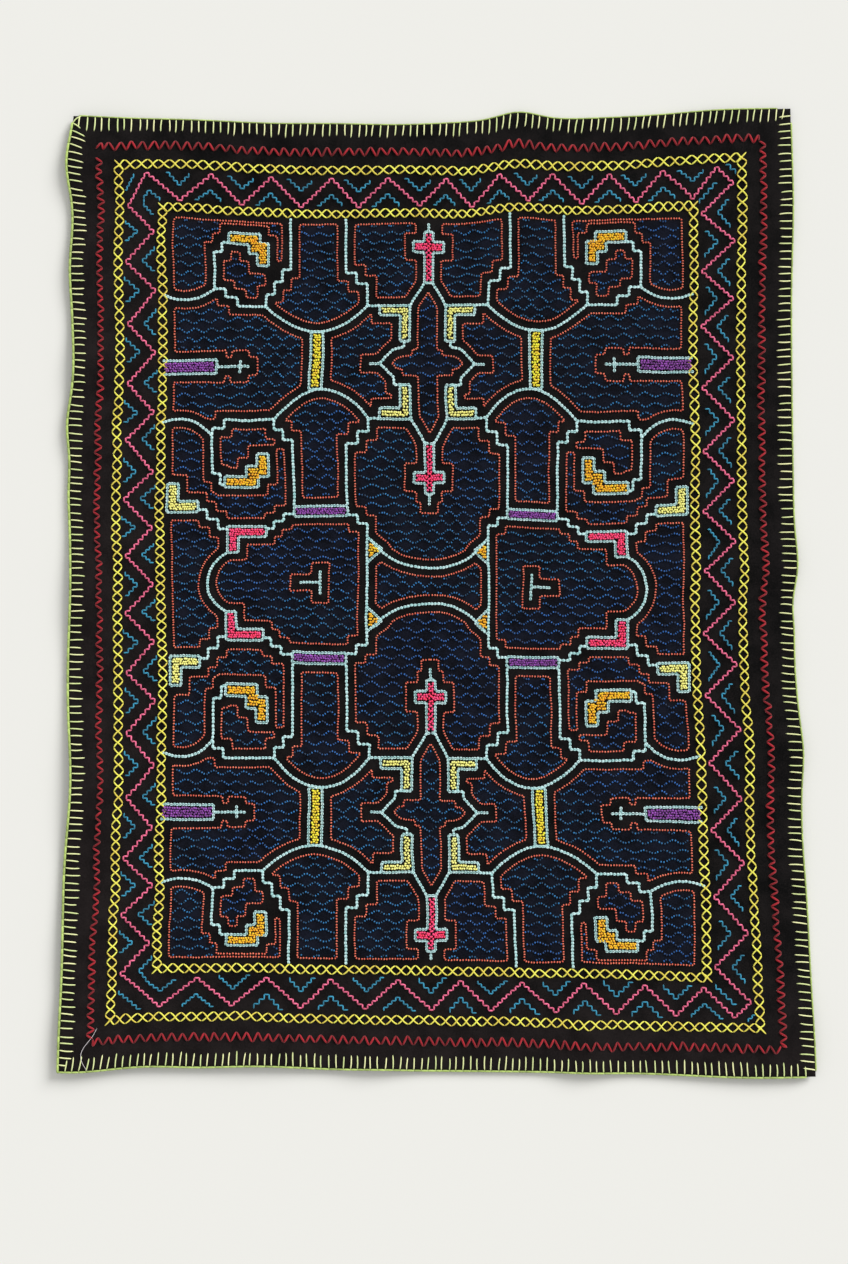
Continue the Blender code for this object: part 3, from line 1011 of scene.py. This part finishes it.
# At each corner of the band, from the top right round to the top left: how far out the short line lies
# from the pink one, and whether the line inside turns round the corner
TIP_OUT = (0.0062, 0.0070, 0.0100, 0.0064)
TURNS_ROUND = (False, False, True, True)
TIP_SHARE = 0.27  # half the length of the short line, as a share of the pink one's
DIAGONAL = (0.0062, 0.0235)  # where a line that doesn't turn starts and ends, in from the corner
# A line that turns: how far in from the pink one it bends before the corner, how far on and in after it,
# how far out it bends at the corner itself, and how far along and in its two ends reach from there
NEAR_IN = 0.0150
FAR_ON = 0.0020
FAR_IN = 0.0172
TURN_OUT = 0.0016
ARM_ALONG = 0.0120
NEAR_ARM_IN = 0.0100
FAR_ARM_IN = 0.0105


def make_cyan_chevrons():
    """Small stepped chevrons: one in each bend of the pink line, and lines at the corners."""
    lines = []
    for chevrons, (points, along, inward) in zip(CHEVRONS, chevron_sides()):
        bends = [(point, inward) for point in points[2:-2:2]] + [(point, -inward) for point in points[1::2]]
        for point, way in bends:
            tip = point + way * CYAN_APART
            feet = tip + way * chevrons.small_deep * (1 + rng.uniform(*CYAN_UNEVEN_DEEP))
            wide = along * chevrons.small_half * (1 + rng.uniform(*CYAN_UNEVEN_WIDE))
            lines.append([feet - wide, tip, feet + wide])
    lines += cyan_corners()
    starts, ends = stepped_stitches(lines, CYAN_STEP, over=CYAN_OVER[1])
    starts -= (ends - starts) * CYAN_OVER[0]
    batch = strands(starts, ends, CYAN_RADIUS, sides=4, blunt=0.2)
    return thread_piece("cyan_chevrons", [batch], "cyan_yarn")


def cyan_corners():
    """At each corner a short line outside the pink one, and a line inside it."""
    lines = []
    sides = chevron_sides()
    for n in range(4):
        points, along, inward = sides[n]
        following, along_on, inward_on = sides[(n + 1) % 4]
        last = points[-1]
        first = following[0]
        middle = (last + first) / 2
        diagonal = inward + inward_on
        tip = middle - diagonal * TIP_OUT[n]
        lines.append([tip + (last - first) * TIP_SHARE, tip + (first - last) * TIP_SHARE])
        if TURNS_ROUND[n]:
            near = last + inward * NEAR_IN
            far = first + inward_on * FAR_IN + along_on * FAR_ON
            turn = (near + far) / 2 - diagonal * TURN_OUT
            lines.append([near - along * ARM_ALONG + inward * NEAR_ARM_IN, near, turn])
            lines.append([turn, far, far + along_on * ARM_ALONG + inward_on * FAR_ARM_IN])
        else:
            lines.append([middle + diagonal * way for way in DIAGONAL])
    return lines


STITCH_ASTRAY = 0.00024


def by_hand(starts, ends):
    """The stitches, each a little aside from where it should be."""
    aside = about(STITCH_ASTRAY, starts.shape)
    return starts + aside, ends + aside


def by_halves(starts, ends):
    """The stitches left and right of the field's middle, each with the word that its piece is named by."""
    left = (starts[:, 0] + ends[:, 0]) / 2 < FIELD_MIDDLE[0]
    return (("left", starts[left], ends[left]), ("right", starts[~left], ends[~left]))


# Spacings along the chart's lines are in its units
AQUA_SPACING = 0.31
AQUA_FINE_SPACING = 0.28
AQUA_LOOP = (0.00064, 0.00074)  # radius of the yarn and half the width of a loop
AQUA_FINE_LOOP = (0.00056, 0.00086)
CORAL_SPACING = 0.25
CORAL_GAP = 0.26
CORAL_RADIUS = 0.00092


def make_aqua_chains():
    thick = stitch_ends([walk(text) for text in AQUA_LINES], AQUA_SPACING)
    fine = stitch_ends([walk(text) for text in AQUA_OUTLINES + AQUA_SPIKES], AQUA_FINE_SPACING)
    thick_halves = by_halves(*by_hand(*four_quarters(*thick)))
    fine_halves = by_halves(*by_hand(*four_quarters(*fine)))
    pieces = []
    for (half, *thick_ends), (_, *fine_ends) in zip(thick_halves, fine_halves):
        batches = chain(*thick_ends, *AQUA_LOOP) + chain(*fine_ends, *AQUA_FINE_LOOP)
        pieces.append(thread_piece("aqua_chain_" + half, batches, "aqua_yarn"))
    return pieces


def make_coral_lines():
    pieces = []
    for half, a, b in by_halves(*by_hand(*four_quarters(*stitch_ends(CORAL_LINES, CORAL_SPACING)))):
        batch = strands(a, b - (b - a) * CORAL_GAP, CORAL_RADIUS, rings=3, sides=4, raise_by=1.2, blunt=0.5)
        pieces.append(thread_piece("coral_back_stitch_" + half, [batch], "coral_yarn"))
    return pieces


WAVE_ROW_SPACE = 0.0087
WAVE_PERIOD = 0.0163
WAVE_FIRST = 0.3  # row spaces from the field's edge to the first row
WAVE_SWING = 0.0021
WAVE_SWING_UNEVEN = 0.3
WAVE_WAVER = 0.0012
WAVE_DRIFT = 2.2  # radians
WAVE_STITCH = 0.0018
WAVE_GAP = 0.0008
WAVE_UNEVEN = 0.0003
WAVE_STEP = 0.0005
WAVE_RADIUS = 0.00100
WAVE_CLEAR = 0.10  # units between the coral line and the waves inside it


def make_blue_waves():
    """Rows of wavy running stitch inside the coral lines. Each row wavers, and its wave drifts along it."""
    half_wide, half_high = QUARTER * UNIT
    spacing = WAVE_STITCH + WAVE_GAP
    s = FIELD_MIDDLE[0] + np.arange(-half_wide, half_wide, WAVE_STEP)
    rows = []
    for row in range(int(2 * half_high / WAVE_ROW_SPACE) + 1):
        level = np.full_like(s, FIELD_MIDDLE[1] - half_high + WAVE_ROW_SPACE * (row + WAVE_FIRST))
        phase = 2 * np.pi * s / WAVE_PERIOD + np.pi * (row % 2) + WAVE_DRIFT * PHASE_DRIFT.at(s, level)
        waver = ROW_WAVER.at(s, level)
        t = level + WAVE_SWING * (1 + WAVE_SWING_UNEVEN * waver) * np.sin(phase) + WAVE_WAVER * waver
        line = np.stack([s, t], axis=1)
        along = way_along(line)
        begin = np.arange(rng.uniform(0, spacing), along[-1] - spacing, spacing)
        begin = begin + about(WAVE_UNEVEN, len(begin))
        rows.append([points_at(line, along, places) for places in (begin, begin + WAVE_STITCH)])
    starts, ends = joined(rows)
    clear = np.minimum(line_distance(*starts.T), line_distance(*ends.T)) > CORAL_AWAY + WAVE_CLEAR
    pieces = []
    for half, a, b in by_halves(*by_hand(starts[clear], ends[clear])):
        batch = strands(a, b, WAVE_RADIUS, rings=2, raise_by=1.1, blunt=0.5)
        pieces.append(thread_piece("blue_waves_" + half, [batch], "blue_yarn"))
    return pieces


KNOT_SPACING = 0.0023
KNOT_STAGGER = 0.22
KNOT_LENGTH = 0.0025
KNOT_RADIUS = 0.00120
KNOT_ASTRAY = 0.00050


def fill_knots(box):
    """Places of the knots that fill a box of the chart in staggered rows, in chart units."""
    low = np.array(box[:2])
    size = np.array(box[2:]) - low
    columns, rows = np.maximum(1, np.rint(size * UNIT / KNOT_SPACING).astype(int))
    row, column = (ids.ravel() for ids in np.indices((rows, columns)))
    stagger = np.where(row % 2, KNOT_STAGGER, -KNOT_STAGGER)
    return low + size * np.stack([(column + 0.5 + stagger) / columns, (row + 0.5) / rows], axis=1)


def make_fills():
    """Each small motif is filled with close knots, set every way."""
    pieces = []
    for name, boxes in FILLS.items():
        middles = np.concatenate([fill_knots(box) for box in boxes])
        middles, _ = four_quarters(middles, middles)
        middles = middles + about(KNOT_ASTRAY, middles.shape)
        turn = rng.uniform(0, np.pi, len(middles))
        half = np.stack([np.cos(turn), np.sin(turn)], axis=1) * KNOT_LENGTH / 2
        batch = strands(middles - half, middles + half, KNOT_RADIUS, rings=3, sides=6, raise_by=1.3, vary=0.4)
        pieces.append(thread_piece(name + "_fill", [batch], name + "_yarn"))
    return pieces


# The blanket stitch, side by side once round: its spacing and how far from the corner it starts, the radius
# of the yarn on the edge, how far a stitch leans at the side's start and at its end, how late the lean
# changes, how many spacings have no yarn on the edge at the start and at the end, and what share of the
# usual reach the first and the last stitch have
EDGE_FIELDS = "spacing inset radius lean_first lean_last late bare_first bare_last reach_first reach_last"
Edge = namedtuple("Edge", EDGE_FIELDS)
EDGES = (
    Edge(0.0070, 0, 0.00070, 0.0002, -0.0022, 1, 1, 2, 0.78, 0.88),
    Edge(0.0070, 0, 0.00085, 0.0012, -0.0020, 1, 2, 1, 0.92, 0.85),
    Edge(0.0065, 0.0033, 0.00095, -0.0002, -0.0022, 3, 1, 0, 0.85, 0.85),
    Edge(0.0068, 0, 0.00120, -0.0008, -0.0066, 22, 0, 1, 0.60, 0.58),
)
EDGE_OUT = 0.0006  # how far outside the cut edge the yarn runs
EDGE_UNEVEN = 0.11
EDGE_LEAN_UNEVEN = 0.0008
EDGE_BOW = 0.0005
EDGE_OVER = 0.25  # how far a turn of the yarn runs past the stitches, as a share of their spacing
EDGE_SUNK = 0.0007  # how far the yarn lies below the face
EDGE_STITCH = 0.0138
EDGE_STITCH_UNEVEN = (-0.10, 0.12)
SPOKE_RADIUS = 0.00067
# A turn of yarn inside the upper left corner, where the tip of the ground is bare
CORNER_TURN = ((-0.0002, LENGTH - 0.0072), (0.0078, LENGTH + 0.0002))
CORNER_BOW = 0.0012


def make_edging():
    """Blanket stitch: yarn along the cut edge, and a stitch in from it at every turn of the needle."""
    yarns = []
    stitches = []
    for edge, (start, length, along, inward) in zip(EDGES, band_sides(Band(*[-EDGE_OUT] * 4))):
        count = int(length / edge.spacing)
        shares = np.arange(count + 1.0)
        shares[1:-1] += about(EDGE_UNEVEN, count - 1)
        shares /= count
        roots = start + along * (edge.inset + (length - edge.inset) * shares[:, None])
        covered = roots[edge.bare_first : count + 1 - edge.bare_last]
        over = (covered[1:] - covered[:-1]) * EDGE_OVER
        a, b = covered[:-1] - over, covered[1:] + over
        yarns.append(strands(a, b, edge.radius, lift=-EDGE_SUNK, sides=6, blunt=0.15))
        inner = roots[1:-1]
        reach = EDGE_STITCH * (1 + rng.uniform(*EDGE_STITCH_UNEVEN, len(inner)))
        reach[[0, -1]] *= (edge.reach_first, edge.reach_last)
        lean = edge.lean_first + (edge.lean_last - edge.lean_first) * shares[1:-1] ** edge.late
        lean += about(EDGE_LEAN_UNEVEN, len(inner))
        tips = inner + inward * reach[:, None] + along * lean[:, None]
        bow = about(EDGE_BOW, len(inner))
        stitches.append(strands(inner, tips, SPOKE_RADIUS, bulge=bow, rings=6, raise_by=1.1, blunt=0.12))
    turn = np.array(CORNER_TURN)[:, None]
    stitches.append(strands(*turn, SPOKE_RADIUS, bulge=CORNER_BOW, rings=8, blunt=0.12))
    made = thread_piece("blanket_stitch_edge", yarns, "lime_yarn")
    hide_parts("edging")
    return [made, thread_piece("blanket_stitch_turns", stitches, "pale_lime_yarn")]


# A stray end of pale thread near the lower left corner, bowed to one side
LOOSE_START = (0.0343, 0.0404)
LOOSE_END = (0.0272, -0.0002)
LOOSE_BOW = -0.0081
LOOSE_SWAY = 0.0027
LOOSE_RADIUS = 0.00026


def make_loose_thread():
    ends = np.array([LOOSE_START, LOOSE_END])[:, None]
    batch = strands(*ends, LOOSE_RADIUS, bulge=LOOSE_BOW, sway=LOOSE_SWAY, rings=18, lift=0.0009, blunt=0.15)
    return thread_piece("loose_thread", [batch], "pale_thread")


def make_cloth():
    """Every piece of the cloth, and the area of the panel's outline, which is worked out but not kept."""
    ground = make_ground()
    pieces = [
        *make_edging(),
        make_loose_thread(),
        make_red_zigzag(),
        make_braid("outer_braid", OUTER_BRAID, OUTER_PITCHES),
        make_braid("inner_braid", INNER_BRAID, INNER_PITCHES),
        make_pink_chevrons(),
        make_cyan_chevrons(),
        *make_coral_lines(),
        *make_blue_waves(),
        *make_aqua_chains(),
        *make_fills(),
    ]
    panel_area()


def panel_area():
    """The area of the panel's outline."""
    xy = np.stack(plan(*panel_net(199, 199)), axis=-1)
    a = xy[1:, :-1] - xy[:-1, :-1]
    b = xy[:-1, 1:] - xy[:-1, :-1]
    return float(np.abs(a[..., 0] * b[..., 1] - a[..., 1] * b[..., 0]).sum())


# The photograph's framing

METRES_PER_PIXEL = 0.00094
IMAGE_WIDE_PX = 848
IMAGE_HIGH_PX = 1264
CLOTH_MIDDLE_PX = (437.0, 592.8)
LENS = 60.0
SENSOR = 36.0


def make_camera():
    """Straight above, at the height from which the image spans what the photograph does."""
    camera = add_object("camera", bpy.data.cameras.new("camera"))
    camera.data.lens = LENS
    camera.data.sensor_width = SENSOR
    x = (IMAGE_WIDE_PX / 2 - CLOTH_MIDDLE_PX[0]) * METRES_PER_PIXEL
    y = (CLOTH_MIDDLE_PX[1] - IMAGE_HIGH_PX / 2) * METRES_PER_PIXEL
    camera.location = (x, y, IMAGE_HIGH_PX * METRES_PER_PIXEL * LENS / SENSOR)
    bpy.context.scene.camera = camera


SKY_SHARE = 0.60  # the even light, as a share of what the floor gets
KEY_STRENGTH = 2.95
KEY_HEIGHT = math.radians(28)  # above the surface
KEY_SIDE = math.radians(45)  # from the right towards the top
KEY_SOFTNESS = math.radians(28)
FLOOR_HALF = 3.0
FLOOR_BELOW = 0.0002  # so that it never shares a plane with the cloth's back


def make_key_light():
    """A broad even light from the upper right, low enough to throw the cloth's edge onto the floor."""
    light = add_object("key", bpy.data.lights.new("key", "SUN"))
    light.data.energy = KEY_STRENGTH
    light.data.angle = KEY_SOFTNESS
    light.rotation_euler = (0, math.pi / 2 - KEY_HEIGHT, KEY_SIDE)
    light.location = (1, 1, 1)


def make_studio():
    """A pale floor, an even sky and one soft light."""
    mesh = bpy.data.meshes.new("floor")
    corners = [(x * FLOOR_HALF, y * FLOOR_HALF, 0) for x, y in ((-1, -1), (1, -1), (1, 1), (-1, 1))]
    mesh.from_pydata(corners, [], [(0, 1, 2, 3)])
    floor = add_object("floor", mesh)
    floor.location.z = -FLOOR_BELOW
    paint = Finish("pale_floor", 0.9, 0.0, 0.0)
    paint.shader.inputs["Base Color"].default_value = (0.83, 0.825, 0.785, 1)
    mesh.materials.append(paint.made)
    world = bpy.data.worlds.new("studio")
    world.use_nodes = True
    sky = world.node_tree.nodes["Background"]
    sky.inputs["Color"].default_value = (1.0, 1.0, 1.0, 1)
    sky.inputs["Strength"].default_value = SKY_SHARE
    bpy.context.scene.world = world
    make_key_light()
    bpy.context.scene.view_settings.view_transform = "Standard"


make_camera()
make_studio()
make_cloth()
